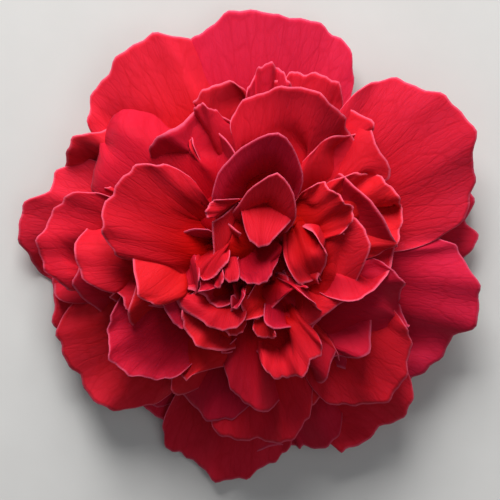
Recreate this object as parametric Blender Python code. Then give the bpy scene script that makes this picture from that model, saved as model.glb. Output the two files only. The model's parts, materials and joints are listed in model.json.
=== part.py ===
"""Double camellia bloom, picked and lying face up: petals in their layers and the calyx below.

Blender 4.5, metres, +Z up.  The flower's axis is vertical and the bloom rests on z = 0.
"""

import math

import bmesh
import bpy
import numpy as np

MM = 0.001

# ---------------------------------------------------------------- driving dimensions (millimetres, degrees)
BLADE_THICKNESS = 0.669     # thickness of every petal and petaloid
SEPAL_THICKNESS = 0.9       # thickness of every sepal and bract
GAP = 0.3                   # clearance between the petals' core and the calyx
CALYX_TOP = 8.7             # height of the calyx seat that carries the core
REST_RADIUS = 4.2           # flat spot under the calyx that the bloom rests on
CORE_PROFILE = (            # radius and height of the core, in which the petals are rooted
    (6.0, CALYX_TOP + GAP),
    (12.5, 11.2),
    (14.0, 14.0),
    (15.5, 16.5),
    (16.5, 19.5),
    (15.0, 23.0),
    (12.0, 26.0),
    (7.0, 27.5),
    (2.5, 28.0),
)
CORE_SIDES = 16
CALYX_PROFILE = (           # radius and height of the cup behind the sepals
    (REST_RADIUS, 0.0),
    (6.2, 1.4),
    (7.6, 4.2),
    (7.4, 7.2),
    (5.8, CALYX_TOP),
)
CALYX_SIDES = 16

# Faces across and along a blade of each layer
GRID = {"guard": (6, 3), "outer": (5, 3), "inner": (4, 3), "centre": (3, 3), "sepal": (4, 3)}
FAN_USED = 0.9              # share of a blade's fan that is built, so that no face at its sides is a sliver
ROOT_SHARE = 0.1           # share of a blade's length that is left off at its root

# Shape of a blade.  root_r and root_z place the root, rise and lean are the midrib's slope at the
# root and at the tip, and each next petal of a layer starts root_step higher and rise_step steeper.
# cup is the angle that the cross-section turns through, square how blunt the margin is,
# and wave and waves are the height and number of the margin's waves.
COMMON = dict(
    root_r=3.5, root_z=14.0, root_step=0.0, rise=55, rise_step=0.0, lean=10, cup=40, cup_root=1.6,
    square=0.22, notch=0.0,
    notch_at=0.0, wave=0.8, waves=2.0, phase=0.0, roll=0.0, roll_from=0.82, roll_at=0.0, roll_over=9.0,
    tilt=0.0, point=0.0, claw=0.14, handle=0.38, tip_handle=0.38,
)
LAYERS = {
    "guard": dict(root_r=4.0, root_z=9.2, root_step=0.2, rise=12, rise_step=2.4, lean=-8, cup=-10, wave=1.0,
                  handle=0.4, tip_handle=0.4),
    "outer": dict(root_r=3.6, root_z=14.0, root_step=0.22, rise=46, rise_step=1.2, lean=8, cup=30, wave=1.0,
                  tip_handle=0.42),
    "inner": dict(root_r=3.0, root_z=19.4, root_step=0.2, rise=66, rise_step=1.0, lean=45, cup=50, wave=1.0,
                  handle=0.4, tip_handle=0.4),
    "centre": dict(root_r=1.6, root_z=21.6, root_step=0.1, rise=70, lean=88, cup=80, cup_root=1.2, wave=0.5,
                   waves=1.5, handle=0.4, tip_handle=0.4),
    "sepal": dict(root_r=3.4, root_z=1.2, rise=-2, lean=72, cup=70, cup_root=1.0, wave=0.0, handle=0.55,
                  tip_handle=0.5, claw=0.45, square=0.3),
}

PETALS = {
    # azimuth, reach, tip height, width, changes from the layer's shape; each layer from its lowest petal up
    "guard": (
        (-98, 55, 2.2, 29, dict(wave=1.2, notch=0.02, notch_at=-0.3, phase=60, square=0.12)),
        (-158, 47.5, 2, 30, dict(phase=30)),
        (9.5, 51, 3.5, 27, dict(notch=0.09, notch_at=-0.1, phase=200)),
        (85.5, 53, 6, 37, dict(notch=0.05, notch_at=0, phase=40, waves=1.5, square=0.19)),
        (-45, 47, 3, 30, dict(phase=120)),
        (-127, 43.5, 4, 26, dict(phase=90)),
        (175, 52, 5, 32, dict(wave=1.2, notch=0.07, notch_at=-0.3, phase=150)),
        (-79, 49.5, 7, 26, dict(wave=1.3, phase=250, waves=2.5)),
        (-114, 46.5, 5, 28, dict(phase=10)),
        (156, 46.5, 10.5, 26, dict(phase=220)),
        (121, 51.5, 11, 34, dict(wave=1.2, notch=0.03, notch_at=-0.55, phase=160)),
        (-58, 51.5, 9, 30, dict(wave=1.3, notch=0.02, phase=250, waves=2.5)),
        (32, 53.5, 12, 37, dict(tilt=4, notch=0.02, notch_at=-0.2, phase=80)),
        (-143, 49.5, 9, 30, dict(wave=1.4, phase=300, waves=2.2)),
        (-20, 50.5, 11, 34, dict(wave=1.6, tilt=5, notch=0.04, notch_at=-0.1, phase=20, waves=2.5)),
    ),
    "outer": (
        (-172, 39.5, 15.5, 24, dict(phase=100)),
        (-46, 41.5, 18, 24, dict(lean=15, phase=110)),
        (87, 41, 19, 13, dict(phase=30)),
        (-107, 37.5, 16, 20, dict(phase=10)),
        (34, 40, 21, 15, dict(lean=20, phase=200, point=0.1)),
        (180, 45.5, 15, 22, dict(lean=5, phase=40)),
        (-89, 42, 17, 26, dict(lean=10, phase=300)),
        (70, 41.5, 18, 21, dict(phase=200)),
        (112, 35.5, 21, 10, dict(lean=20, phase=120)),
        (-141, 37.5, 19, 21, dict(lean=15, phase=90)),
        (139, 42.5, 18.5, 30, dict(lean=-5, cup=20, phase=70, roll=-70, roll_from=0.88)),
        (52, 38.5, 21, 20, dict(lean=20, phase=100)),
        (-71, 35.5, 23, 22, dict(lean=25, phase=210)),
        (-121, 36, 22, 13, dict(lean=20, phase=200, point=0.12)),
        (22, 33.5, 23, 19, dict(lean=25, wave=1.4, phase=20, waves=3)),
        (-33, 36, 21, 27, dict(lean=20, wave=1.5, phase=60, waves=3)),
        (101, 37.5, 22, 21, dict(lean=20, phase=120)),
        (177, 38, 22, 28, dict(lean=20, cup=20, phase=10)),
    ),
    "inner": (
        (-82, 32.5, 24, 23, dict(lean=15, phase=180)),
        (51, 34.5, 24, 15, dict(lean=30, phase=200)),
        (123, 34, 26, 20, dict(lean=30, phase=30)),
        (-38, 31.5, 25, 20, dict(lean=35, phase=150)),
        (-147, 30.5, 24, 20, dict(lean=25, phase=210)),
        (73, 38.5, 26, 29, dict(lean=25, cup=30, phase=100)),
        (147, 33.5, 28, 26, dict(lean=25, phase=300)),
        (-160, 29.5, 26, 14, dict(phase=240)),
        (18, 29.5, 29.5, 23, dict(lean=50, phase=10, roll=60, roll_from=0.85, roll_at=-0.8, roll_over=0.5)),
        (82, 28.5, 30, 18, dict(phase=90, point=0.12, square=0.4)),
        (168, 25, 28, 11, dict(lean=50, phase=330)),
        (-70, 23, 29, 14, dict(lean=55, phase=30)),
        (43, 23.5, 32, 15, dict(lean=60, phase=60)),
        (-124, 20, 31, 13, dict(lean=70, phase=30)),
        (-174, 24.5, 29, 15, dict(lean=60, phase=270)),
        (-150, 21, 28, 11, dict(lean=60, phase=0)),
        (8, 25, 30, 22, dict(lean=60, cup=60, phase=120)),
        (72, 20, 33, 15, dict(lean=60, phase=120, point=0.1, square=0.45)),
    ),
    "centre": (
        (135, 14.5, 35, 15, dict(rise=55, lean=95, cup=50, phase=20)),
        (122, 17, 33, 9, dict(rise=50, lean=80, phase=50)),
        (84, 8, 37, 7, dict(rise=40, lean=130, tip_handle=0.6, phase=80)),
        (-75, 3, 34, 7, dict(rise=50, lean=100, cup=120, phase=80)),
        (5, 12.5, 35, 9, dict(rise=45, lean=85, phase=180)),
        (19, 17.5, 33, 10, dict(rise=45, lean=75, phase=10)),
        (164, 10.5, 35, 8, dict(rise=50, lean=110, phase=60)),
        (-178, 12.5, 34, 7, dict(rise=50, lean=85, phase=90, tilt=50)),
        (-170, 5.5, 34, 5, dict(rise=60, lean=100, phase=160)),
        (118, 8, 36, 6, dict(rise=60, lean=100, phase=220)),
        (-123, 13.5, 33, 11, dict(rise=45, lean=70, phase=60)),
        (-112, 8, 34, 5, dict(rise=60, lean=95, phase=100, tilt=60)),
        (-83, 10, 34, 6, dict(rise=60, lean=95, phase=130, tilt=-30)),
        (-73, 14.5, 32, 9, dict(rise=50, lean=80, phase=190, tilt=20)),
        (-99, 17.5, 31, 9, dict(rise=45, lean=65, cup=110, phase=300)),
        (-55, 16, 32, 10, dict(rise=45, lean=75, phase=330, tilt=-30)),
        (-30, 13, 32, 9, dict(rise=50, lean=80, phase=330)),
        (-140, 16, 30, 9, dict(rise=50, lean=80, phase=130)),
        (150, 12, 32, 8, dict(rise=60, lean=95, phase=230)),
        (-25, 19, 30, 10, dict(rise=50, lean=70, phase=30)),
        (60, 13, 33, 9, dict(rise=50, lean=85, phase=130)),
        (-50, 7, 30, 6, dict(lean=95, phase=230)),
        (-140, 8, 30, 6, dict(lean=95, phase=330)),
        (35, 7, 31, 6, dict(lean=95, phase=30)),
    ),
}

SEPALS = (
    # three bracts, then five sepals that clasp the petals; the same columns
    (20, 8.4, 5.6, 9.0, dict(lean=70)),
    (150, 8.4, 5.2, 9.0, dict(lean=70)),
    (262, 8.4, 5.4, 9.0, dict(lean=70)),
    (60, 10.2, 8.2, 12.5, {}),
    (132, 10.0, 7.9, 12.5, {}),
    (204, 10.2, 8.3, 12.5, {}),
    (276, 10.1, 8.0, 12.5, {}),
    (348, 10.2, 8.2, 12.5, {}),
)


def bezier(start, first, second, end, t):
    """Points of a cubic curve at the parameters t."""
    t = t[:, None]
    return ((1 - t) ** 3 * start + 3 * (1 - t) ** 2 * t * first
            + 3 * (1 - t) * t * t * second + t ** 3 * end)


def midrib(shape, reach, tip):
    """The midrib in the plane of radius and height: points, slopes and lengths from the root."""
    root = np.array([shape["root_r"], shape["root_z"]])
    end = np.array([reach, tip])
    span = math.dist(root, end)
    rise = math.radians(shape["rise"])
    lean = math.radians(shape["lean"])
    first = root + shape["handle"] * span * np.array([math.cos(rise), math.sin(rise)])
    second = end - shape["tip_handle"] * span * np.array([math.cos(lean), math.sin(lean)])
    points = bezier(root, first, second, end, np.linspace(0, 1, 81))
    steps = np.hypot(*np.diff(points, axis=0).T)
    lengths = np.concatenate([[0], np.cumsum(steps)])
    slopes = np.unwrap(np.arctan2(*np.gradient(points, axis=0).T[::-1]))
    return points, slopes, lengths


def margin(x, shape):
    """Distance from root to margin, as a share of the length, at x from -1 to 1 across the fan."""
    side = np.clip(np.cos(np.pi / 2 * x), 0, 1)
    return shape["claw"] + (1 - shape["claw"]) * side ** shape["square"]


def fan_half_angle(width, length, shape):
    """Half the angle of the fan whose widest place is the blade's width."""
    x = np.linspace(0, 1, 60)
    angle = math.radians(30)
    for _ in range(12):
        widest = 2 * np.max(margin(x, shape) * np.sin(x * angle))
        angle = min(math.radians(105), angle * (width / length / widest) ** 0.9)
    return angle


def blade_shape(layer, order, changes):
    """The shape of the blade that comes order-th from the bottom of its layer."""
    shape = COMMON | LAYERS[layer]
    shape["root_z"] += order * shape["root_step"]
    shape["rise"] += order * shape["rise_step"]
    return shape | changes


def blade_points(shape, azimuth, reach, tip, width, u, v):
    """Place the points u (-1 to 1 across) and v (root to margin) of one blade; millimetres."""
    points, slopes, lengths = midrib(shape, reach, tip)
    length = lengths[-1]
    phase = math.radians(shape["phase"])

    # the flat fan: its veins run from the root, its margin is waved, notched or pointed
    x = 0.55 * np.sin(np.pi / 2 * u) + 0.45 * u
    angle = x * fan_half_angle(width, length, shape)
    edge = margin(x, shape)
    from_notch = np.sqrt((u - shape["notch_at"]) ** 2 + 0.0004)
    edge = edge * (1 - shape["notch"] * np.exp(-from_notch / 0.1))
    edge = edge * (1 + shape["point"] * np.exp(-np.abs(u) / 0.22))
    edge = edge * (1 + 0.012 * np.sin(3 * np.pi * u + phase))
    radius = length * edge

    # the rolled margin is an arc beyond roll_from
    roll = math.radians(shape["roll"]) * np.exp(-((u - shape["roll_at"]) / shape["roll_over"]) ** 2)
    roll = np.where(np.abs(roll) < 1e-4, 1e-4, roll)
    start = shape["roll_from"]
    turned = np.clip((v - start) / (1 - start), 0, 1) * roll
    arc = radius * (1 - start) / roll
    out = np.where(v > start, radius * start + arc * np.sin(turned), radius * v)
    lift = np.where(v > start, arc * (1 - np.cos(turned)), 0)
    along = out * np.cos(angle)
    across = out * np.sin(angle)

    # waves that grow towards the margin, and the cupped cross-section
    swing = np.sin(shape["waves"] * np.pi * u + phase)
    swing = swing + 0.4 * np.sin(2.3 * shape["waves"] * np.pi * u + 1.7 * phase + 1)
    lift = lift + shape["wave"] * v ** 3 * swing
    share = np.clip(along / length, 0, 1)
    bend = math.radians(shape["cup"]) / width * (1 + (shape["cup_root"] - 1) * (1 - share))
    bend = np.where(np.abs(bend) < 1e-5, 1e-5, bend)
    lift = lift + (1 - np.cos(bend * across)) / bend
    across = np.sin(bend * across) / bend
    tilt = math.radians(shape["tilt"])
    across, lift = (across * math.cos(tilt) - lift * math.sin(tilt),
                    across * math.sin(tilt) + lift * math.cos(tilt))

    # laid along the midrib and turned to its azimuth
    on_rib = np.clip(along, 0, length)
    beyond = along - on_rib
    slope = np.interp(on_rib, lengths, slopes)
    radial = np.interp(on_rib, lengths, points[:, 0]) + beyond * np.cos(slope) - lift * np.sin(slope)
    height = np.interp(on_rib, lengths, points[:, 1]) + beyond * np.sin(slope) + lift * np.cos(slope)
    turn = math.radians(azimuth)
    return np.stack([radial * math.cos(turn) - across * math.sin(turn),
                     radial * math.sin(turn) + across * math.cos(turn), height], axis=-1)


def add_object(name, mesh, collection=None):
    thing = bpy.data.objects.new(name, mesh)
    (collection or bpy.context.scene.collection).objects.link(thing)
    return thing


def add_blade(layer, order, azimuth, reach, tip, width, changes, thickness, collection):
    """One petal, petaloid or sepal: a fan of faces shaped by blade_points and given its thickness."""
    name = f"{layer}_{order:02}"
    columns, rows = GRID[layer]
    mesh = bpy.data.meshes.new(name)
    blade = bmesh.new()
    bmesh.ops.create_grid(blade, x_segments=columns, y_segments=rows, size=1)
    flat = np.array([vertex.co[:2] for vertex in blade.verts])
    u = FAN_USED * flat[:, 0]
    v = ROOT_SHARE + (1 - ROOT_SHARE) * (flat[:, 1] + 1) / 2
    shape = blade_shape(layer, order, changes)
    places = blade_points(shape, azimuth, reach, tip, width, u, v)
    for vertex, place in zip(blade.verts, places):
        vertex.co = place * MM
    bmesh.ops.triangulate(blade, faces=blade.faces[:])
    blade.to_mesh(mesh)
    blade.free()
    thing = add_object(name, mesh, collection)
    solid = thing.modifiers.new("Thickness", "SOLIDIFY")
    solid.thickness = thickness * MM
    solid.offset = 0
    solid.use_even_offset = False
    return thing


def add_turned(name, profile, sides):
    """A closed solid turned about the flower's axis from a profile of radius and height."""
    mesh = bpy.data.meshes.new(name)
    body = bmesh.new()
    radius, height = profile[0]
    ring = bmesh.ops.create_circle(body, cap_ends=False, segments=sides, radius=radius * MM)["verts"]
    bmesh.ops.translate(body, verts=ring, vec=(0, 0, height * MM))
    edges = body.edges[:]
    bottom = bmesh.ops.contextual_create(body, geom=edges)["faces"]
    for radius, height in profile[1:]:
        grown = bmesh.ops.extrude_edge_only(body, edges=edges)["geom"]
        ring = [item for item in grown if isinstance(item, bmesh.types.BMVert)]
        edges = [item for item in grown if isinstance(item, bmesh.types.BMEdge)]
        for vertex in ring:
            across = math.hypot(vertex.co.x, vertex.co.y)
            vertex.co.x *= radius * MM / across
            vertex.co.y *= radius * MM / across
            vertex.co.z = height * MM
    bmesh.ops.contextual_create(body, geom=edges)
    bmesh.ops.recalc_face_normals(body, faces=body.faces[:])
    body.to_mesh(mesh)
    body.free()
    return add_object(name, mesh)


def fuse(trunk, blades):
    """Join every blade of the collection to the trunk in one solid, and keep its outer body only."""
    union = trunk.modifiers.new("Blades", "BOOLEAN")
    union.operation = "UNION"
    union.operand_type = "COLLECTION"
    union.collection = blades
    union.solver = "MANIFOLD"
    graph = bpy.context.evaluated_depsgraph_get()
    fused = bpy.data.meshes.new_from_object(trunk.evaluated_get(graph), depsgraph=graph)
    trunk.modifiers.clear()
    for blade in list(blades.objects):
        bpy.data.objects.remove(blade)
    bpy.data.collections.remove(blades)
    trunk.data = cleaned(fused)


def cleaned(fused):
    """A mesh of triangles from the fused one, with no edge shared by four faces and no loose shell."""
    fused.calc_loop_triangles()
    triangles = fused.loop_triangles[:]
    solid = bpy.data.meshes.new("fused")
    solid.from_pydata([vertex.co[:] for vertex in fused.vertices], [],
                      [triangle.vertices[:] for triangle in triangles])
    body = bmesh.new()
    body.from_mesh(solid)
    outline = body.faces.layers.int.new("outline")
    for face, triangle in zip(body.faces, triangles):
        face[outline] = triangle.polygon_index
    for edge in [edge for edge in body.edges if len(edge.link_faces) > 2]:
        turn_edge(body, edge, outline)
    drop_loose(body)
    body.to_mesh(solid)
    body.free()
    return solid


def turn_edge(body, edge, outline):
    """Give two faces that were cut from one outline their other diagonal."""
    choices = []
    for first in edge.link_loops:
        for second in edge.link_loops:
            same = first.face[outline] == second.face[outline]
            if same and first.vert == edge.verts[0] and second.vert == edge.verts[1]:
                start, end = first.vert, second.vert
                left, right = first.link_loop_prev.vert, second.link_loop_prev.vert
                if not body.edges.get((left, right)):
                    sizes = (triangle_size(start, right, left), triangle_size(right, end, left))
                    choices.append((min(sizes), start, end, left, right, first.face, second.face))
    size, start, end, left, right, first, second = max(choices, key=lambda choice: choice[0])
    number = first[outline]
    body.faces.remove(first)
    body.faces.remove(second)
    for corners in ((start, right, left), (right, end, left)):
        body.faces.new(corners)[outline] = number


def triangle_size(a, b, c):
    return (b.co - a.co).cross(c.co - a.co).length


def drop_loose(body):
    """Delete all but the largest shell of faces: scraps, and hollows that fusing has sealed."""
    shells = []
    unseen = set(body.faces)
    while unseen:
        shell = set()
        front = [unseen.pop()]
        while front:
            face = front.pop()
            shell.add(face)
            for edge in face.edges:
                for other in edge.link_faces:
                    if other in unseen:
                        unseen.remove(other)
                        front.append(other)
        shells.append(shell)
    shells.sort(key=len)
    loose = [face for shell in shells[:-1] for face in shell]
    bmesh.ops.delete(body, geom=loose, context="FACES")


def finish(thing, colour, roughness):
    """Give a node its own plain material."""
    material = bpy.data.materials.new(thing.name)
    material.use_nodes = True
    shader = material.node_tree.nodes["Principled BSDF"]
    shader.inputs["Base Color"].default_value = (*colour, 1)
    shader.inputs["Roughness"].default_value = roughness
    thing.data.materials.clear()
    thing.data.materials.append(material)


def make_petals():
    petals = add_turned("petals", CORE_PROFILE, CORE_SIDES)
    blades = bpy.data.collections.new("petal blades")
    bpy.context.scene.collection.children.link(blades)
    for layer, petals_up in PETALS.items():
        for order, petal in enumerate(petals_up):
            add_blade(layer, order, *petal, BLADE_THICKNESS, blades)
    fuse(petals, blades)
    finish(petals, (0.52, 0.015, 0.05), 0.55)
    return petals


def make_calyx():
    calyx = add_turned("calyx", CALYX_PROFILE, CALYX_SIDES)
    blades = bpy.data.collections.new("sepal blades")
    bpy.context.scene.collection.children.link(blades)
    for order, sepal in enumerate(SEPALS):
        add_blade("sepal", order, *sepal, SEPAL_THICKNESS, blades)
    fuse(calyx, blades)
    finish(calyx, (0.25, 0.28, 0.10), 0.65)
    return calyx


def centre_on_origin(things):
    """Move the meshes together, so that the bloom's box stands on z = 0 round the origin."""
    corners = np.array([vertex.co[:] for thing in things for vertex in thing.data.vertices])
    low = corners.min(axis=0)
    high = corners.max(axis=0)
    for thing in things:
        body = bmesh.new()
        body.from_mesh(thing.data)
        shift = (-(low[0] + high[0]) / 2, -(low[1] + high[1]) / 2, -low[2])
        bmesh.ops.translate(body, verts=body.verts[:], vec=shift)
        body.to_mesh(thing.data)
        body.free()


for thing in list(bpy.data.objects):
    bpy.data.objects.remove(thing)
centre_on_origin([make_petals(), make_calyx()])
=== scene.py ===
"""Double camellia bloom, picked and lying face up: its petals laid layer by layer on a scaly calyx."""

import json
import math

import bmesh
import bpy
import numpy as np
from mathutils import Matrix, Vector
from mathutils.bvhtree import BVHTree


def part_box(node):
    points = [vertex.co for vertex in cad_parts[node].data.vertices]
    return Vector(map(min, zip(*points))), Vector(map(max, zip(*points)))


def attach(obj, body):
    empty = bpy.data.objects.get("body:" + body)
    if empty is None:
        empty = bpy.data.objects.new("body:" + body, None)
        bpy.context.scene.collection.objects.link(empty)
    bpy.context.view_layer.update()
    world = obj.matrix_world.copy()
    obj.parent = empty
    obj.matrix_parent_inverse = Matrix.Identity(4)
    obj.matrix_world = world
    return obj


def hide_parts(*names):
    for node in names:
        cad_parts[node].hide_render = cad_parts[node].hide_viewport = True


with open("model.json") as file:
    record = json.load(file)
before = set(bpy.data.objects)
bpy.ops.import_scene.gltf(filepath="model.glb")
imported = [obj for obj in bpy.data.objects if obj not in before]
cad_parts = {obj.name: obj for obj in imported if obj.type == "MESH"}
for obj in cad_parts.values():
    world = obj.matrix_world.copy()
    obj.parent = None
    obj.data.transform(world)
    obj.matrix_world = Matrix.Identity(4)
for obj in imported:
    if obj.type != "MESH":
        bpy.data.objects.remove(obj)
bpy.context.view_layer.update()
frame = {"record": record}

bl_info = {
    "name": "Camellia bloom",
    "version": (1, 0, 0),
    "blender": (4, 5, 0),
    "location": "3D View > Sidebar > Camellia",
    "description": "Builds a double camellia bloom, petal by petal, on its calyx",
    "category": "Add Mesh",
}

MM = 0.001
REST_SPOT = next(mount for mount in frame["record"]["mounts"] if mount["name"] == "rest_spot")
AXIS = Vector(REST_SPOT["pos_m"])     # where the flower's axis meets the surface
CALYX_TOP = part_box("calyx")[1].z / MM

# ---------------------------------------------------------------- the form of the blades (mm, degrees)
# The midrib: root_r and root_z place its root, and at moves the whole blade off the flower's axis.
# rise and lean are its slopes at the root and at the tip, and handle and tip_handle the shares of
# its span over which they hold.  Each next blade of a layer starts root_step higher and rise_step
# steeper.  tilt turns the blade about its midrib.
# The cross-section: cup is the angle it turns through, and cup_root how many times stronger that
# bend is at the root.
# The outline: claw is the share of the length that is left at the fan's sides, and the lower square
# is, the blunter the margin.  notch cuts in at notch_at across the blade, notch_over wide, and a
# notch below 0 draws a tip out.  point tapers the blade to both sides of point_at.
# The margin: wave and waves are the height and number of its waves, frill and frills those of the
# fine ones on it, and phase shifts them all.  It rolls over through the angle roll, from the share
# roll_from of the length on, strongest at roll_at across the blade and roll_over wide.
COMMON = dict(
    root_r=3.5, root_z=14.0, root_step=0.0, rise=55, rise_step=0.0, lean=10, handle=0.38, tip_handle=0.38,
    at=(0.0, 0.0), tilt=0.0, cup=40, cup_root=1.6, claw=0.14, square=0.22,
    notch=0.0, notch_at=0.0, notch_over=0.1, point=0.0, point_at=0.0,
    wave=0.8, waves=2.0, frill=0.25, frills=7.0, phase=0.0,
    roll=0.0, roll_from=0.82, roll_at=0.0, roll_over=9.0,
)
LAYERS = {
    "guard": dict(root_r=4.0, root_z=9.2, root_step=0.2, rise=12, rise_step=2.4, lean=-8, cup=-10, wave=1.0,
                  handle=0.4, tip_handle=0.4),
    "outer": dict(root_r=3.6, root_z=14.0, root_step=0.22, rise=38, rise_step=1.0, lean=0, cup=16, wave=1.0,
                  tip_handle=0.42),
    "inner": dict(root_r=3.0, root_z=19.4, root_step=0.2, rise=62, rise_step=0.8, lean=14, cup=24, wave=1.0,
                  handle=0.4, tip_handle=0.4),
    "centre": dict(root_r=0.5, root_z=24.0, root_step=0.05, rise=65, lean=5, cup=70, cup_root=1.2, wave=0.5,
                   waves=1.5, handle=0.5, tip_handle=0.4),
    "sepal": dict(root_r=3.4, root_z=1.2, rise=-2, lean=72, cup=70, cup_root=1.0, wave=0.0, handle=0.55,
                  tip_handle=0.5, claw=0.45, square=0.3, frill=0.0),
}
# Faces across and along a blade of each layer
GRID = {"guard": (60, 44), "outer": (52, 34), "inner": (46, 30), "centre": (34, 26), "sepal": (28, 20)}

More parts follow.
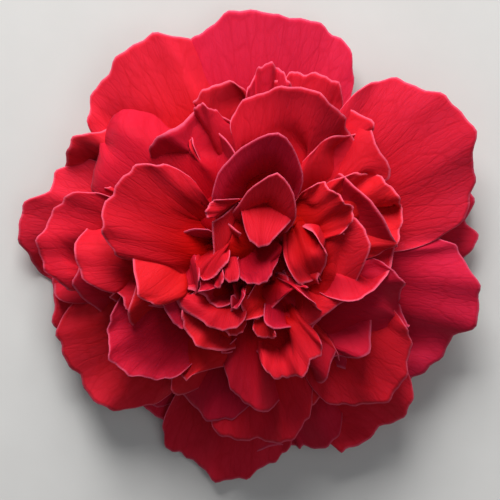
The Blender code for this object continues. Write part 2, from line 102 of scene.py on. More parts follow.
PETALS = {
    # azimuth, reach, height of the tip, width and changes from the layer's shape, as they are laid
    "guard": (
        (-98, 55, 2.2, 29, dict(wave=1.2, notch=0.02, notch_at=-0.3, phase=60, square=0.12)),
        (-158, 47.5, 2, 30, dict(phase=30)),
        (9.5, 51, 3.5, 27, dict(notch=0.11, notch_at=-0.1, notch_over=0.13, phase=200)),
        (85.5, 53, 6, 37, dict(notch=0.07, notch_over=0.14, phase=40, waves=1.5, square=0.19)),
        (-45, 47, 3, 30, dict(phase=120)),
        (-127, 43.5, 4, 26, dict(phase=90)),
        (175, 52, 5, 32, dict(wave=1.2, notch=0.1, notch_at=-0.3, notch_over=0.13, phase=150)),
        (-79, 49.5, 7, 26, dict(wave=1.3, phase=250, waves=2.5)),
        (-114, 46.5, 5, 28, dict(phase=10)),
        (156, 46.5, 10.5, 26, dict(phase=220)),
        (121, 51.5, 11, 34, dict(wave=1.2, notch=0.03, notch_at=-0.55, phase=160)),
        (-58, 51.5, 9, 30, dict(wave=1.3, notch=0.02, phase=250, waves=2.5)),
        (32, 53.5, 12, 37, dict(tilt=4, notch=0.02, notch_at=-0.2, phase=80)),
        (-143, 49.5, 9, 30, dict(wave=1.4, phase=300, waves=2.2)),
        (-20, 50.5, 11, 34, dict(wave=1.6, tilt=5, notch=0.04, notch_at=-0.1, phase=20, waves=2.5)),
    ),
    "outer": (
        (-168, 39, 15.5, 24, dict(phase=100)),
        (-44, 42.5, 17, 24, dict(lean=-12, phase=110)),
        (85, 42, 19, 10, dict(wave=1.2, waves=4, phase=30)),
        (-107, 37.5, 16, 20, dict(lean=-12, phase=10)),
        (34, 40.5, 21, 16, dict(lean=5, point=0.35, point_at=0.3, phase=200)),
        (176, 46, 15, 24, dict(lean=-8, phase=40)),
        (-89, 42, 17, 24, dict(lean=-12, square=0.15, phase=300)),
        (71, 42, 18.5, 19, dict(lean=5, phase=200)),
        (109, 35.5, 21, 8, dict(lean=10, phase=120)),
        (-143, 37.5, 19, 20, dict(lean=-5, roll=50, roll_from=0.85, phase=90)),
        (137, 43.5, 17.5, 30, dict(rise=36, lean=-8, cup=6, phase=70, roll=-70, roll_from=0.88)),
        (53, 38.8, 21, 19, dict(lean=10, phase=100)),
        (-68, 35.5, 22, 19, dict(lean=-5, phase=210)),
        (-120, 35.5, 20, 9, dict(lean=-5, point=0.6, phase=200)),
        (25, 33.5, 24, 19, dict(lean=10, wave=1.5, waves=3.5, phase=20)),
        (-30, 36, 21.5, 27, dict(lean=-5, wave=1.5, waves=3, phase=60)),
        (102, 38.5, 21, 19, dict(rise=44, lean=0, phase=120)),
        (173, 38, 21.5, 26, dict(lean=0, notch=0.12, notch_at=0.55, phase=10)),
    ),
    "inner": (
        (-78, 32.5, 24, 21, dict(lean=-8, square=0.15, phase=180)),
        (48, 35.5, 25, 15, dict(lean=25, phase=200)),
        (122, 34.5, 24.5, 20, dict(lean=15, phase=30)),
        (-32, 31, 25, 18, dict(lean=-5, phase=150)),
        (-144, 30.5, 24.5, 22, dict(lean=5, phase=210)),
        (74, 39.5, 27.5, 27, dict(lean=25, cup=10, wave=0.9, square=0.3, phase=100)),
        (152, 34, 28.5, 23, dict(lean=15, cup=10, wave=0.8, square=0.17, phase=300)),
        (-167, 29, 26, 14, dict(phase=240)),
        (15, 29.5, 29, 24, dict(lean=30, phase=10, roll=60, roll_from=0.85, roll_at=-0.8, roll_over=0.5)),
        (92, 27.5, 33, 18.5, dict(lean=32, cup=16, wave=0.3, square=0.6, point=0.5, point_at=-0.15,
                                  notch=-0.2, notch_at=-0.15, notch_over=0.18, phase=90)),
        (166, 25.5, 28, 12, dict(lean=20, phase=330)),
        (-66, 24.5, 31.5, 13, dict(lean=10, square=0.1, notch=0.1, notch_at=0.3, phase=30)),
        (41, 24.5, 32, 11.5, dict(lean=45, square=0.12, phase=60)),
        (-128, 20, 30, 14, dict(lean=15, phase=30)),
        (178, 26, 31.5, 16, dict(lean=20, square=0.15, phase=270)),
        (-150, 21, 28, 11, dict(lean=20, phase=0)),
        (4, 26, 30.5, 20, dict(lean=30, cup=30, point=0.2, point_at=0.3, phase=120)),
        (78, 19.5, 34.5, 12.5, dict(lean=32, cup=35, wave=0.3, square=1.0, point=0.6, notch=-0.2,
                                    notch_over=0.18, phase=120)),
    ),
    "centre": (
        (-20, 15, 29.5, 10, dict(phase=30)),
        (-155, 12, 30, 9, dict(phase=230)),
        (155, 17, 31, 9, dict(lean=35, phase=330)),
        (60, 12, 30, 9, dict(phase=130)),
        (2, 9.5, 31, 7, dict(at=(8.5, 7), phase=10)),
        (-45, 8.5, 31, 7, dict(at=(6, 4), phase=60)),
        (-90, 9, 29.5, 6, dict(at=(-2.3, -8.5), cup=110, phase=300)),
        (-72, 10, 31.5, 8, dict(at=(3, -4), cup=80, tilt=-25, phase=190)),
        (-38, 15, 31.5, 11, dict(at=(2, -2), lean=15, tilt=30, phase=330)),
        (-118, 9, 32, 12, dict(at=(-5, -3.5), square=0.15, phase=60)),
        (-95, 5.5, 32, 6, dict(at=(-11.5, 2.5), tilt=70, phase=100)),
        (-85, 5.5, 33, 8, dict(at=(-9, 6), phase=90)),
        (-141, 6, 32.5, 7, dict(at=(3.5, -4.5), point=0.5, phase=100)),
        (-92, 4, 33, 5, dict(at=(-7, 1), tilt=75, phase=130)),
        (-90, 7, 33.5, 2.2, dict(at=(-3.6, -1.5), cup=20, square=0.6)),
        (128, 13.5, 34.5, 18, dict(lean=45, cup=40, square=0.1, phase=20)),
        (176, 9, 34, 6, dict(at=(-1, 13), cup=90, phase=50)),
        (-52, 12, 33, 9, dict(at=(6, 9.5), cup=60, phase=180)),
        (-95, 5.5, 33.5, 6.5, dict(at=(-4.5, 4), phase=60)),
        (112, 7.5, 35, 6, dict(at=(-1, 3), lean=60, cup=90, phase=220)),
        (-88, 7, 34.5, 5.8, dict(at=(1.2, 5.5), cup=110, phase=80)),
        (-92, 7, 35.5, 7.2, dict(at=(1.6, 13.5), phase=80)),
        (-80, 4.5, 35, 4.5, dict(at=(1.8, 5), cup=90, phase=160)),
        (-100, 7, 32.5, 6, dict(at=(0.5, -1.5), cup=90, phase=20)),
        (-60, 6.5, 32, 5.5, dict(at=(3.5, -1), cup=80, tilt=-20, phase=140)),
        (-125, 6, 33, 5.5, dict(at=(-1.5, -2), cup=100, tilt=25, phase=260)),
        (-80, 9.5, 31.5, 6.5, dict(at=(1.5, -5), cup=100, tilt=15, phase=330)),
        (-110, 8, 31, 6, dict(at=(-2.5, -6), cup=80, tilt=-25, phase=70)),
        (-170, 6, 32, 6, dict(at=(-8, -1), cup=80, tilt=30, phase=180)),
        (20, 7, 32, 5, dict(at=(4, 1), cup=80, tilt=20, phase=300)),
    ),
}

SEPALS = (
    # three bracts, then five sepals that clasp the petals; the same columns
    (20, 8.4, 5.6, 9.0, dict(lean=70)),
    (150, 8.4, 5.2, 9.0, dict(lean=70)),
    (262, 8.4, 5.4, 9.0, dict(lean=70)),
    (60, 10.2, 8.2, 12.5, {}),
    (132, 10.0, 7.9, 12.5, {}),
    (204, 10.2, 8.3, 12.5, {}),
    (276, 10.1, 8.0, 12.5, {}),
    (348, 10.2, 8.2, 12.5, {}),
)
SEPAL_THICKNESS = 0.9

REST_RADIUS = 4.2     # of the flat spot that the bloom rests on
# Radius and height along the sides of the two round pieces, from the bottom up
FOOT_PROFILE = ((0, CALYX_TOP - 1.0), (4.2, CALYX_TOP - 1.0), (5.2, CALYX_TOP + 0.5), (7.5, 10), (9.0, 13),
                (10.5, 16), (11.8, 19), (12.0, 22), (11.0, 24.2), (8.5, 25.4), (4.5, 26), (0, 26.2))
CUP_PROFILE = ((0, 0.05), (REST_RADIUS, 0), (5.4, 0.5), (6.2, 1.4), (7.2, 2.8), (7.6, 4.2), (7.7, 5.8),
               (7.3, 7.2), (5.8, 8.6), (0, 8.6))

MIDRIB_POINTS = 61    # and FAN_POINTS: how finely a midrib and half a fan are measured
FAN_POINTS = 60
FIRST_FAN = math.radians(30)       # first guess of the half angle of a blade's fan
WIDEST_FAN = math.radians(105)     # and the greatest that it may become
FAN_ROUNDS = 12       # rounds in which the guess is bettered
LEAST_ROLL = 1e-4     # stands in for no roll, and LEAST_BEND for no bend, because arcs divide by them
LEAST_BEND = 1e-5
BLUNTING = 0.0004     # rounds off the middle of a notch and of a tip
# Size, turns across the blade and share of the phase of the three waves that make an outline uneven
UNEVEN = ((0.013, 3, 1), (0.009, 7.3, 2.1), (0.005, 13.7, 3.3))
ROOT_SHARE = 0.04     # share of a blade's length that is left off at its root
THIN_RIM = 5.0        # width of the rim over which a blade thins out
HELD_ROOT = 0.2       # share of a petal at its root that settling leaves in place
EASED_ROOT = 0.3      # share beyond it over which settling sets in
SETTLE_REACH = 8      # clearances within which a petal feels those below it
FACING = 0.6          # least share of the distance that has to point straight off the petal below
SPREADS = 4           # blurs that carry a push to its neighbours
SMOOTHINGS = 3        # blurs that even the push out

# ---------------------------------------------------------------- finishes and light
# Share of pink towards the margins, partly painted sky reflection, and of crimson at the base, partly
# painted shade of the deeper layers, in each layer of petals
TINTS = {"guard": (0.55, 0.0), "outer": (0.3, 0.15), "inner": (0.25, 0.25), "centre": (0.2, 0.35)}
DULL_RED_SHINE = {"Specular IOR Level": 0.07, "Specular Tint": (1.0, 0.35, 0.45, 1)}
VELVET = DULL_RED_SHINE | {
    "Sheen Weight": 0.03, "Sheen Roughness": 0.45, "Sheen Tint": (1.0, 0.25, 0.45, 1),
    "Subsurface Weight": 0.14, "Subsurface Radius": (1.0, 0.12, 0.10), "Subsurface Scale": 0.6 * MM,
}
BOARD = {"Roughness": 0.9, "Specular IOR Level": 0.1}
SILK_HAIR = (0.52, 0.52, 0.36)
# painted shade: the foot's two deep crimsons make it read as the shadow between the petals
FOOT_SHADE_DEEP, FOOT_SHADE_PALE = (0.14, 0.002, 0.003), (0.20, 0.008, 0.008)
BOARD_DARK, BOARD_LIGHT = (0.60, 0.59, 0.57), (0.66, 0.65, 0.63)
SKY_COLOUR, SKY_STRENGTH = (0.86, 0.92, 1.0, 1), 0.14
LIGHT_AIM = (0, 0, 0.02)
# Place, side and power of each soft light
LIGHTS = {"key light": ((-0.06, 0.66, 0.38), 0.40, 10.2), "fill light": ((0.3, 0.1, 0.8), 0.6, 1.1)}


# ---------------------------------------------------------------- sizes and colours that a user may change
class PetalForm(bpy.types.PropertyGroup):
    thickness: bpy.props.FloatProperty(
        name="Thickness", description="Thickness of a petal inside its rim", default=0.5 * MM, unit="LENGTH")
    rim_share: bpy.props.FloatProperty(
        name="Rim share", description="Share of the thickness that is left at the margin", default=0.3,
        subtype="FACTOR")
    clearance: bpy.props.FloatProperty(
        name="Clearance", description="Distance that a petal keeps from those below it", default=0.45 * MM,
        unit="LENGTH")
    settle_rounds: bpy.props.IntProperty(
        name="Settling rounds", description="Rounds in which petals are eased off those below", default=4)


class PetalColours(bpy.types.PropertyGroup):
    rose: bpy.props.FloatVectorProperty(
        name="Rose", description="Colour of the open petals", default=(0.53, 0.0075, 0.018), subtype="COLOR")
    # the crimson of the bases is partly the petal's own colour and partly painted shade
    crimson: bpy.props.FloatVectorProperty(
        name="Crimson", description="Colour at the petals' bases", default=(0.32, 0.0006, 0.0018),
        subtype="COLOR")
    # the pink tint is partly the petal's own colour and partly painted reflection of the sky
    blush_and_reflection: bpy.props.FloatVectorProperty(
        name="Blush", description="Pink tint towards the margins", default=(0.64, 0.022, 0.062),
        subtype="COLOR")
    # the rim colour is a painted highlight, where the thin margin catches the light
    rim: bpy.props.FloatVectorProperty(
        name="Rim", description="Thin pale line of the margin", default=(0.84, 0.13, 0.23), subtype="COLOR")


class CalyxColours(bpy.types.PropertyGroup):
    green: bpy.props.FloatVectorProperty(
        name="Green", description="Colour of the sepals", default=(0.20, 0.24, 0.07), subtype="COLOR")
    brown: bpy.props.FloatVectorProperty(
        name="Brown", description="Colour of the sepals' dry edges", default=(0.16, 0.09, 0.04),
        subtype="COLOR")


class StageForm(bpy.types.PropertyGroup):
    camera_tilt: bpy.props.FloatProperty(
        name="Camera tilt", description="Angle between the camera's view and the vertical",
        default=math.radians(13), unit="ROTATION")
    camera_distance: bpy.props.FloatProperty(
        name="Camera distance", description="Distance from the camera to the bloom", default=0.48,
        unit="LENGTH")
    camera_aim: bpy.props.FloatVectorProperty(
        name="Camera aim", description="Point that the camera looks at, from the flower's foot",
        default=(-0.0009, 0.0026, 0.022), subtype="TRANSLATION")
    picture_width: bpy.props.FloatProperty(
        name="Picture width", description="Width of the view at the bloom", default=0.10593, unit="LENGTH")
    floor_size: bpy.props.FloatProperty(
        name="Floor size", description="Side of the floor", default=4.0, unit="LENGTH")


# ---------------------------------------------------------------- shader maths
class Value:
    """An output socket; its sums, differences and products are Math nodes."""

    def __init__(self, paint, socket):
        self.paint = paint
        self.socket = socket

    def _math(self, operation, *values):
        return self.paint.add("ShaderNodeMath", {"operation": operation}, dict(enumerate(values)))

    def __add__(self, other):
        return self._math("ADD", self, other)

    def __radd__(self, other):
        return self._math("ADD", other, self)

    def __sub__(self, other):
        return self._math("SUBTRACT", self, other)

    def __rsub__(self, other):
        return self._math("SUBTRACT", other, self)

    def __mul__(self, other):
        return self._math("MULTIPLY", self, other)

    def __rmul__(self, other):
        return self._math("MULTIPLY", other, self)


class Paint:
    """A material under construction."""

    def __init__(self, name):
        self.material = bpy.data.materials.new(name)
        self.material.use_nodes = True
        self.tree = self.material.node_tree
        self.shader = self.tree.nodes["Principled BSDF"]

    def add(self, kind, settings, inputs, output=0):
        """A node of this kind: its settings first, then the values or links of its sockets."""
        node = self.tree.nodes.new(kind)
        for name, value in settings.items():
            setattr(node, name, value)
        for name, value in inputs.items():
            self.feed(node.inputs[name], value)
        return Value(self, node.outputs[output])

    def feed(self, socket, value):
        if isinstance(value, Value):
            self.tree.links.new(value.socket, socket)
        elif socket.type == "RGBA":
            socket.default_value = (*tuple(value)[:3], 1)
        else:
            socket.default_value = value

    def finish(self, settings):
        """Give the shader these constants."""
        for name, value in settings.items():
            self.shader.inputs[name].default_value = value

    def dress(self, colour, roughness, normal):
        """Give the shader what changes over the surface."""
        self.feed(self.shader.inputs["Base Color"], colour)
        self.feed(self.shader.inputs["Roughness"], roughness)
        self.feed(self.shader.inputs["Normal"], normal)

    def ramp(self, value, low, high):
        """0 below low, 1 above high, and a soft step between."""
        return self.add("ShaderNodeMapRange", {"interpolation_type": "SMOOTHSTEP"},
                        {"Value": value, "From Min": low, "From Max": high})

    def mix(self, share, first, second):
        return self.add("ShaderNodeMix", {"data_type": "RGBA"}, {0: share, 6: first, 7: second}, output=2)

    def split(self, vector):
        x = self.add("ShaderNodeSeparateXYZ", {}, {0: vector})
        return [Value(self, output) for output in x.socket.node.outputs]

    def join(self, x, y, z):
        return self.add("ShaderNodeCombineXYZ", {}, {0: x, 1: y, 2: z})

    def attribute(self, name):
        return self.add("ShaderNodeAttribute", {"attribute_name": name}, {}, output=1)

    def noise(self, vector, scale=1.0, detail=3.0):
        return self.add("ShaderNodeTexNoise", {},
                        {"Vector": vector, "Scale": scale, "Detail": detail, "Roughness": 0.55})

    def cell_edges(self, vector):
        return self.add("ShaderNodeTexVoronoi", {"feature": "DISTANCE_TO_EDGE"},
                        {"Vector": vector, "Scale": 1.0})

    def bump(self, height, strength, distance):
        return self.add("ShaderNodeBump", {}, {"Strength": strength, "Distance": distance, "Height": height})


def petal_paint(name, blush_and_reflection, depth_and_shade):
    """Velvety petal tissue: fanned veins, a crimson base that is partly painted shade, pink margins that are
    partly painted sky reflection, and a pale rim that is a painted highlight.
    """
    colours = bpy.context.scene.petal_colours
    paint = Paint(name)
    angle, radius, tone = paint.split(paint.attribute("fan"))
    _, along, from_rim = paint.split(paint.attribute("blade"))
    mottle = paint.noise(paint.join(angle * 3.0, radius * 0.06, tone * 40.0))

    # veins fan out from the root and fork: stretched cells, coarse and fine
    wander = paint.noise(paint.join(angle * 4.0, radius * 0.10, tone * 17.0)) * 0.5
    coarse = paint.cell_edges(paint.join(angle * 13.0 + wander, radius * 0.10, tone * 31.0))
    fine = paint.cell_edges(paint.join(angle * 38.0 + wander * 2.0, radius * 0.30, tone * 53.0))
    streaks = paint.noise(paint.join(angle * 30.0, radius * 0.05, tone * 23.0), detail=4.0)
    vein = (1 - paint.ramp(coarse, 0.0, 0.10)) * 0.6 + (1 - paint.ramp(fine, 0.0, 0.16)) * 0.4

    # crimson at the base, partly the petal's own colour and partly painted shade; the deeper the layer lies
    # in the bloom, the farther it reaches
    opened = paint.ramp(along, 0.15 + 0.8 * depth_and_shade, 0.8 + 0.4 * depth_and_shade) * (1 - 0.6 * depth_and_shade)
    base = paint.mix(opened, colours.crimson, colours.rose)
    # pink towards the margin: partly the petal's own tint and partly painted reflection of the sky
    pinker = paint.ramp(along, 0.45, 1.05) * blush_and_reflection * (0.6 + mottle * 0.8)
    tinted = paint.mix(pinker, base, colours.blush_and_reflection)
    streaked = paint.mix((streaks - 0.35) * 0.5, tinted, colours.crimson)
    veined = paint.mix(vein * 0.22, streaked, colours.crimson)
    # painted highlight: a pale pink line along each margin, where the thin edge catches the light and
    # reflects the sky
    pale = (1 - paint.ramp(from_rim, 0.0, 0.6)) * 0.6
    finished = paint.mix(pale, veined, colours.rim)

    # each petal a little lighter or darker than the next
    varied = paint.add("ShaderNodeHueSaturation", {},
                       {"Hue": 0.5 + (tone - 0.5) * 0.006, "Value": 0.88 + tone * 0.2, "Color": finished})
    relief = vein * -0.6 + streaks * 0.5 + mottle * 0.4
    paint.dress(varied, 0.50 + mottle * 0.16, paint.bump(relief, 0.6, 0.15 * MM))
    paint.finish(VELVET)
    return paint.material


def sepal_paint():
    """Dull green sepals, dry and brown at their edges, with fine silky hairs."""
    colours = bpy.context.scene.calyx_colours
    paint = Paint("sepal")
    angle, radius, tone = paint.split(paint.attribute("fan"))
    _, along, from_rim = paint.split(paint.attribute("blade"))
    hairs = paint.noise(paint.join(angle * 40.0, radius * 0.25, tone * 40.0), detail=4.0)
    blotch = paint.noise(paint.join(angle * 3.0, radius * 0.4, tone * 20.0))
    dry = (1 - paint.ramp(from_rim, 0.1, 1.6)) * 0.8 + paint.ramp(blotch, 0.5, 0.75) * 0.35
    colour = paint.mix(dry, colours.green, colours.brown)
    silky = paint.mix(paint.ramp(hairs, 0.5, 0.8) * 0.35, colour, SILK_HAIR)
    paint.dress(silky, 0.55 + hairs * 0.2, paint.bump(hairs, 0.5, 0.2 * MM))
    return paint.material


def foot_paint():
    """The foot in which the petals are rooted, coloured a near-black crimson as painted shade, so that it
    reads as deep shadow where it shows between the petals.
    """
    paint = Paint("flower foot")
    place = paint.add("ShaderNodeTexCoord", {}, {}, output="Object")
    speckle = paint.noise(place, 900.0, detail=4.0)
    # painted shade: speckled near-black crimson
    colour = paint.mix(paint.ramp(speckle, 0.3, 0.7), FOOT_SHADE_DEEP, FOOT_SHADE_PALE)
    paint.dress(colour, 0.5 + speckle * 0.2, paint.bump(speckle, 0.3, 0.1 * MM))
    paint.finish(DULL_RED_SHINE)
    return paint.material


def floor_paint():
    """Plain pale backdrop board."""
    paint = Paint("pale board")
    place = paint.add("ShaderNodeTexCoord", {}, {}, output="Object")
    grain = paint.noise(place, 60.0, detail=5.0)
    paint.feed(paint.shader.inputs["Base Color"], paint.mix(grain, BOARD_DARK, BOARD_LIGHT))
    paint.finish(BOARD)
    return paint.material


# ---------------------------------------------------------------- the form of one blade
def bezier(start, first, second, end, t):
    """Points of a cubic curve at the parameters t."""
    t = t[:, None]
    return (1 - t) ** 3 * start + 3 * (1 - t) ** 2 * t * first + 3 * (1 - t) * t ** 2 * second + t ** 3 * end


def midrib(shape, reach, tip):
    """The midrib in the plane of radius and height: its points, their slopes and the lengths to them."""
    root = np.array([shape["root_r"], shape["root_z"]])
    end = np.array([reach, tip])
    span = np.hypot(*(end - root))
    rise = math.radians(shape["rise"])
    lean = math.radians(shape["lean"])
    first = root + shape["handle"] * span * np.array([math.cos(rise), math.sin(rise)])
    second = end - shape["tip_handle"] * span * np.array([math.cos(lean), math.sin(lean)])
    points = bezier(root, first, second, end, np.linspace(0, 1, MIDRIB_POINTS))
    steps = np.diff(points, axis=0)
    lengths = np.concatenate([[0], np.cumsum(np.hypot(*steps.T))])
    slopes = np.unwrap(np.arctan2(*np.gradient(points, axis=0).T[::-1]))
    return points, slopes, lengths


def margin(x, shape):
    """Length of the fan, as a share of the midrib, at x (-1 to 1) of its half angle."""
    return shape["claw"] + (1 - shape["claw"]) * np.clip(np.cos(np.pi / 2 * x), 0, 1) ** shape["square"]


def fan_half_angle(width, length, shape):
    """Half angle of the fan, found so that the blade is as wide as asked."""
    x = np.linspace(0, 1, FAN_POINTS)
    angle = FIRST_FAN
    for _ in range(FAN_ROUNDS):
        widest = 2 * np.max(margin(x, shape) * (1 - shape["point"] * x) * np.sin(x * angle))
        angle = min(WIDEST_FAN, angle * (width / length / widest) ** 0.9)
    return angle


def blade_shape(layer, order, changes):
    """The shape of the blade that comes order-th from the bottom of its layer."""
    shape = COMMON | LAYERS[layer]
    shape["root_z"] += order * shape["root_step"]
    shape["rise"] += order * shape["rise_step"]
    return shape | changes


def blade_points(shape, azimuth, reach, tip, width, u, v):
    """Place the points u (-1 to 1 across) and v (0 to 1, root to margin) of one blade; millimetres.

    Returns the places, and each point's angle and radius in the flat fan.
    """
    points, slopes, lengths = midrib(shape, reach, tip)
    length = lengths[-1]
    phase = math.radians(shape["phase"])

    # the flat fan: rows of faces run out from its root and crowd towards its sides, and its margin is
    # uneven, notched or pointed
    x = 0.55 * np.sin(np.pi / 2 * u) + 0.45 * u
    angle = x * fan_half_angle(width, length, shape)
    edge = margin(x, shape)
    from_notch = np.sqrt((u - shape["notch_at"]) ** 2 + BLUNTING)
    edge = edge * (1 - shape["notch"] * np.exp(-from_notch / shape["notch_over"]))
    from_point = np.sqrt((u - shape["point_at"]) ** 2 + BLUNTING)
    edge = edge * (1 - shape["point"] * np.minimum(from_point, 1))
    uneven = 1
    for size, turns, share in UNEVEN:
        uneven = uneven + size * np.sin(turns * np.pi * u + share * phase)
    radius = length * edge * uneven

    # the rolled margin is an arc beyond roll_from
    roll = math.radians(shape["roll"]) * np.exp(-((u - shape["roll_at"]) / shape["roll_over"]) ** 2)
    roll = np.where(np.abs(roll) < LEAST_ROLL, LEAST_ROLL, roll)
    start = shape["roll_from"]
    turned = np.clip((v - start) / (1 - start), 0, 1) * roll
    arc = radius * (1 - start) / roll
    out = np.where(v > start, radius * start + arc * np.sin(turned), radius * v)
    lift = np.where(v > start, arc * (1 - np.cos(turned)), 0)
    along = out * np.cos(angle)
    across = out * np.sin(angle)

    # waves and frills that grow towards the margin, and the cupped and tilted cross-section
    swing = np.sin(shape["waves"] * np.pi * u + phase)
    swing = swing + 0.4 * np.sin(2.3 * shape["waves"] * np.pi * u + 1.7 * phase + 1)
    lift = lift + shape["wave"] * v ** 3 * swing
    ripple = np.sin(shape["frills"] * np.pi * u + 2.7 * phase) * (0.7 + 0.3 * np.sin(2 * np.pi * u + phase))
    lift = lift + shape["frill"] * v ** 7 * ripple
    share = np.clip(along / length, 0, 1)
    bend = math.radians(shape["cup"]) / width * (1 + (shape["cup_root"] - 1) * (1 - share))
    bend = np.where(np.abs(bend) < LEAST_BEND, LEAST_BEND, bend)
    lift = lift + (1 - np.cos(bend * across)) / bend
    across = np.sin(bend * across) / bend
    tilt = math.radians(shape["tilt"])
    across, lift = (across * np.cos(tilt) - lift * np.sin(tilt),
                    across * np.sin(tilt) + lift * np.cos(tilt))

    # laid along the midrib and turned to its azimuth
    on_rib = np.clip(along, 0, length)
    beyond = along - on_rib
    slope = np.interp(on_rib, lengths, slopes)
    radial = np.interp(on_rib, lengths, points[:, 0]) + beyond * np.cos(slope) - lift * np.sin(slope)
    height = np.interp(on_rib, lengths, points[:, 1]) + beyond * np.sin(slope) + lift * np.cos(slope)
    turn = math.radians(azimuth)
    places = np.stack([shape["at"][0] + radial * math.cos(turn) - across * math.sin(turn),
                       shape["at"][1] + radial * math.sin(turn) + across * math.cos(turn), height], axis=-1)
    return places, angle, radius * v


# ---------------------------------------------------------------- petals laid on one another
def blur(field):
    """Average each point of a grid of vectors with its neighbours."""
    for axis in (0, 1):
        ends = [(1, 1) if n == axis else (0, 0) for n in range(3)]
        padded = np.pad(field, ends, mode="edge")
        before = np.take(padded, range(0, field.shape[axis]), axis=axis)
        after = np.take(padded, range(2, field.shape[axis] + 2), axis=axis)
        field = (before + 2 * field + after) / 4
    return field


def settle(grid, below, clearance, rounds):
    """Ease a petal's grid of points off the petals below it; its root stays where it is."""
    if below is None:
        return grid
    rows = grid.shape[1]
    free = np.clip((np.linspace(0, 1, rows) - HELD_ROOT) / EASED_ROOT, 0, 1)[None, :, None]
    reach = SETTLE_REACH * clearance
    for _ in range(rounds):
        push = np.zeros_like(grid)
        for index in np.ndindex(grid.shape[:2]):
            place = Vector(grid[index])
            near, normal, face, distance = below.find_nearest(place, reach)
            if near is None:
                continue
            over = (place - near).dot(normal)
            if over < clearance and abs(over) > FACING * distance:
                push[index] = normal * (clearance - over)
        if not push.any():
            break
        for _ in range(SPREADS):
            spread = blur(push)
            push = np.where(np.abs(spread) > np.abs(push), spread, push)
        for _ in range(SMOOTHINGS):
            push = blur(push)
        grid = grid + push * free
    return grid


def sheet_below(names):
    """The corners and the faces of all the petals in these pieces."""
    corners = []
    faces = []
    for name in names:
        mesh = bpy.data.objects[name].data
        start = len(corners)
        corners.extend(vertex.co[:] for vertex in mesh.vertices)
        faces.extend([start + index for index in polygon.vertices] for polygon in mesh.polygons)
    return corners, faces


def lay_blades(name, layer, blades, names_below, paint, node, thickness, settles=True):
    """Build one layer of blades, each settled on those below it, as one piece."""
    form = bpy.context.scene.petal_form
    columns, rows = GRID[layer]
    corners, faces = sheet_below(names_below)
    chance = np.random.default_rng(len(blades))
    mesh = bpy.data.meshes.new(name)
    body = bmesh.new()
    fan = body.verts.layers.float_vector.new("fan")
    blade = body.verts.layers.float_vector.new("blade")
    rim = body.verts.layers.deform.verify()
    for order, (azimuth, reach, tip, width, changes) in enumerate(blades):
        grown = bmesh.ops.create_grid(body, x_segments=columns, y_segments=rows, size=1)["verts"]
        flat = np.array([vertex.co[:2] for vertex in grown])
        v = ROOT_SHARE + (1 - ROOT_SHARE) * (flat[:, 1] + 1) / 2
        shape = blade_shape(layer, order, changes)
        places, angle, radius = blade_points(shape, azimuth, reach, tip, width, flat[:, 0], v)
        places = places * MM + np.array(AXIS)
        grid = places.reshape(rows + 1, columns + 1, 3).transpose(1, 0, 2)
        if settles:
            below = BVHTree.FromPolygons(corners, faces) if faces else None
            grid = settle(grid, below, form.clearance, form.settle_rounds)
            # no petal dips through the surface on which the bloom lies
            grid[..., 2] = np.maximum(grid[..., 2], thickness)
            start = len(corners)
            corners.extend(map(tuple, grid.reshape(-1, 3)))
            for i in range(columns):
                for j in range(rows):
                    a = start + i * (rows + 1) + j
                    b = a + rows + 1
                    faces.append([a, b, b + 1, a + 1])
        places = grid.transpose(1, 0, 2).reshape(-1, 3)
        tone = chance.random()
        for vertex, place, u, along, turn, far in zip(grown, places, flat[:, 0], v, angle, radius):
            vertex.co = place
            from_rim = min((1 - along) * far / along, (1 - abs(u)) * width)
            vertex[fan] = (turn, far, tone)
            vertex[blade] = (u, along, from_rim)
            vertex[rim][0] = form.rim_share + (1 - form.rim_share) * min(1.0, from_rim / THIN_RIM)
    body.to_mesh(mesh)
    body.free()
    mesh.shade_smooth()
    mesh.materials.append(paint)
    piece = bpy.data.objects.new(name, mesh)
    bpy.context.scene.collection.objects.link(piece)
    piece.vertex_groups.new(name="thickness")
    solid = piece.modifiers.new("Thickness", "SOLIDIFY")
    solid.thickness = thickness
    solid.offset = 0
    solid.vertex_group = "thickness"
    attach(piece, "root")
    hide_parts(node)
    return piece


def turned_piece(name, profile, paint, node, sides=64):
    """A round solid about the flower's axis, spun from a profile of radius and height."""
    mesh = bpy.data.meshes.new(name)
    body = bmesh.new()
    line = [body.verts.new((radius * MM, 0, height * MM)) for radius, height in profile]
    edges = [body.edges.new(pair) for pair in zip(line, line[1:])]
    bmesh.ops.spin(body, geom=line + edges, cent=(0, 0, 0), axis=(0, 0, 1), angle=2 * math.pi,
                   steps=sides, use_merge=True)
    bmesh.ops.remove_doubles(body, verts=body.verts[:], dist=0.01 * MM)
    bmesh.ops.recalc_face_normals(body, faces=body.faces[:])
    bmesh.ops.translate(body, verts=body.verts[:], vec=AXIS)
    fan = body.verts.layers.float_vector.new("fan")
    blade = body.verts.layers.float_vector.new("blade")
    for vertex in body.verts:
        vertex[fan] = (math.atan2(vertex.co.y - AXIS.y, vertex.co.x - AXIS.x), vertex.co.z / MM, 0.5)
        vertex[blade] = (0, 0.5, 5)
    body.to_mesh(mesh)
    body.free()
    mesh.shade_smooth()
    mesh.materials.append(paint)
    piece = bpy.data.objects.new(name, mesh)
    bpy.context.scene.collection.objects.link(piece)
    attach(piece, "root")
    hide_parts(node)
    return piece


# ---------------------------------------------------------------- operators
class PetalLayer:
    """Common to the four operators that lay a layer of petals."""

    def lay(self, layer, names_below):
        thickness = bpy.context.scene.petal_form.thickness
        paint = petal_paint(f"{layer} petal", *TINTS[layer])
        lay_blades(f"{layer}_petals", layer, PETALS[layer], names_below, paint, "petals", thickness)
        return {"FINISHED"}


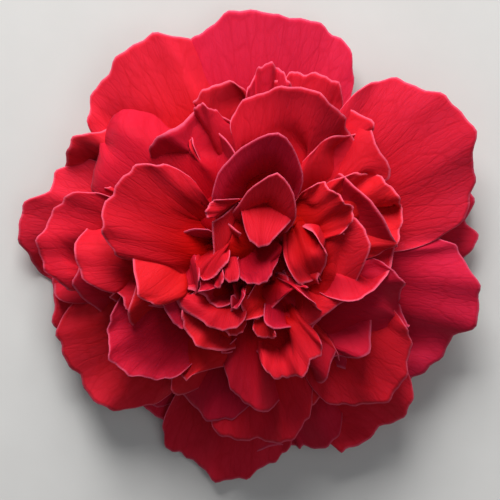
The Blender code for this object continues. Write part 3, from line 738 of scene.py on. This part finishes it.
class CAMELLIA_OT_guard(PetalLayer, bpy.types.Operator):
    """Lay the broad guard petals round the bloom"""
    bl_idname = "camellia.guard"
    bl_label = "Guard petals"

    def execute(self, context):
        return self.lay("guard", ())


class CAMELLIA_OT_outer(PetalLayer, bpy.types.Operator):
    """Lay the upright outer petals inside the guard petals"""
    bl_idname = "camellia.outer"
    bl_label = "Outer petals"

    def execute(self, context):
        return self.lay("outer", ("guard_petals",))


class CAMELLIA_OT_inner(PetalLayer, bpy.types.Operator):
    """Lay the cupped inner petals"""
    bl_idname = "camellia.inner"
    bl_label = "Inner petals"

    def execute(self, context):
        return self.lay("inner", ("guard_petals", "outer_petals"))


class CAMELLIA_OT_centre(PetalLayer, bpy.types.Operator):
    """Fill the eye with small rolled petals"""
    bl_idname = "camellia.centre"
    bl_label = "Centre petals"

    def execute(self, context):
        return self.lay("centre", ("outer_petals", "inner_petals"))


class CAMELLIA_OT_foot(bpy.types.Operator):
    """Turn the foot in which all the petals are rooted"""
    bl_idname = "camellia.foot"
    bl_label = "Flower foot"

    def execute(self, context):
        turned_piece("flower_foot", FOOT_PROFILE, foot_paint(), "petals")
        return {"FINISHED"}


class CAMELLIA_OT_calyx(bpy.types.Operator):
    """Build the calyx: a cup clasped by bracts and sepals"""
    bl_idname = "camellia.calyx"
    bl_label = "Calyx"

    def execute(self, context):
        paint = sepal_paint()
        turned_piece("calyx_cup", CUP_PROFILE, paint, "calyx")
        lay_blades("sepals", "sepal", SEPALS, (), paint, "calyx", SEPAL_THICKNESS * MM,
                   settles=False)
        return {"FINISHED"}


class CAMELLIA_OT_stage(bpy.types.Operator):
    """Set the floor, the soft lights and the camera"""
    bl_idname = "camellia.stage"
    bl_label = "Stage"

    def execute(self, context):
        scene = context.scene
        form = scene.stage_form
        mesh = bpy.data.meshes.new("floor")
        body = bmesh.new()
        bmesh.ops.create_grid(body, x_segments=1, y_segments=1, size=form.floor_size / 2)
        body.to_mesh(mesh)
        body.free()
        mesh.materials.append(floor_paint())
        floor = bpy.data.objects.new("floor", mesh)
        scene.collection.objects.link(floor)

        world = bpy.data.worlds.new("studio")
        world.use_nodes = True
        sky = world.node_tree.nodes["Background"]
        sky.inputs["Color"].default_value = SKY_COLOUR
        sky.inputs["Strength"].default_value = SKY_STRENGTH
        scene.world = world
        for name, (place, size, power) in LIGHTS.items():
            add_softbox(scene, name, place, size, power)
        scene.view_settings.view_transform = "Standard"
        scene.camera = add_camera(form)
        scene.collection.objects.link(scene.camera)
        return {"FINISHED"}


def add_softbox(scene, name, place, size, power):
    """A square soft light that shines on the bloom."""
    lamp = bpy.data.lights.new(name, "AREA")
    lamp.energy = power
    lamp.size = size
    light = bpy.data.objects.new(name, lamp)
    light.location = place
    light.rotation_euler = (Vector(LIGHT_AIM) - light.location).to_track_quat("-Z", "Y").to_euler()
    scene.collection.objects.link(light)


def add_camera(form):
    """The camera looks down on the bloom, tilted a little from the vertical."""
    lens = bpy.data.cameras.new("camera")
    lens.lens = lens.sensor_width * form.camera_distance / form.picture_width
    lens.clip_start = 0.01
    camera = bpy.data.objects.new("camera", lens)
    aim = AXIS + Vector(form.camera_aim)
    place = aim + Vector((0, math.sin(form.camera_tilt), math.cos(form.camera_tilt))) * form.camera_distance
    camera.matrix_world = Matrix.Translation(place) @ Matrix.Rotation(-form.camera_tilt, 4, "X")
    return camera


class CAMELLIA_PT_panel(bpy.types.Panel):
    """Lists the settings and the steps that build the bloom"""
    bl_idname = "CAMELLIA_PT_panel"
    bl_label = "Camellia bloom"
    bl_space_type = "VIEW_3D"
    bl_region_type = "UI"
    bl_category = "Camellia"

    def draw(self, context):
        for name in SETTINGS:
            box = self.layout.box()
            settings = getattr(context.scene, name)
            for field in settings.bl_rna.properties.keys():
                if field not in ("rna_type", "name"):
                    box.prop(settings, field)
        for operator in OPERATORS:
            self.layout.operator(operator.bl_idname)


OPERATORS = (CAMELLIA_OT_guard, CAMELLIA_OT_outer, CAMELLIA_OT_inner, CAMELLIA_OT_centre, CAMELLIA_OT_foot,
             CAMELLIA_OT_calyx, CAMELLIA_OT_stage)
SETTINGS = {"petal_form": PetalForm, "petal_colours": PetalColours, "calyx_colours": CalyxColours,
            "stage_form": StageForm}


def register():
    for name, settings in SETTINGS.items():
        bpy.utils.register_class(settings)
        setattr(bpy.types.Scene, name, bpy.props.PointerProperty(type=settings))
    for operator in OPERATORS:
        bpy.utils.register_class(operator)
    bpy.utils.register_class(CAMELLIA_PT_panel)


def unregister():
    bpy.utils.unregister_class(CAMELLIA_PT_panel)
    for operator in reversed(OPERATORS):
        bpy.utils.unregister_class(operator)
    for name, settings in SETTINGS.items():
        delattr(bpy.types.Scene, name)
        bpy.utils.unregister_class(settings)


def main():
    register()
    bpy.ops.camellia.stage()
    bpy.ops.camellia.calyx()
    bpy.ops.camellia.foot()
    bpy.ops.camellia.guard()
    bpy.ops.camellia.outer()
    bpy.ops.camellia.inner()
    bpy.ops.camellia.centre()


if __name__ == "__main__":
    main()
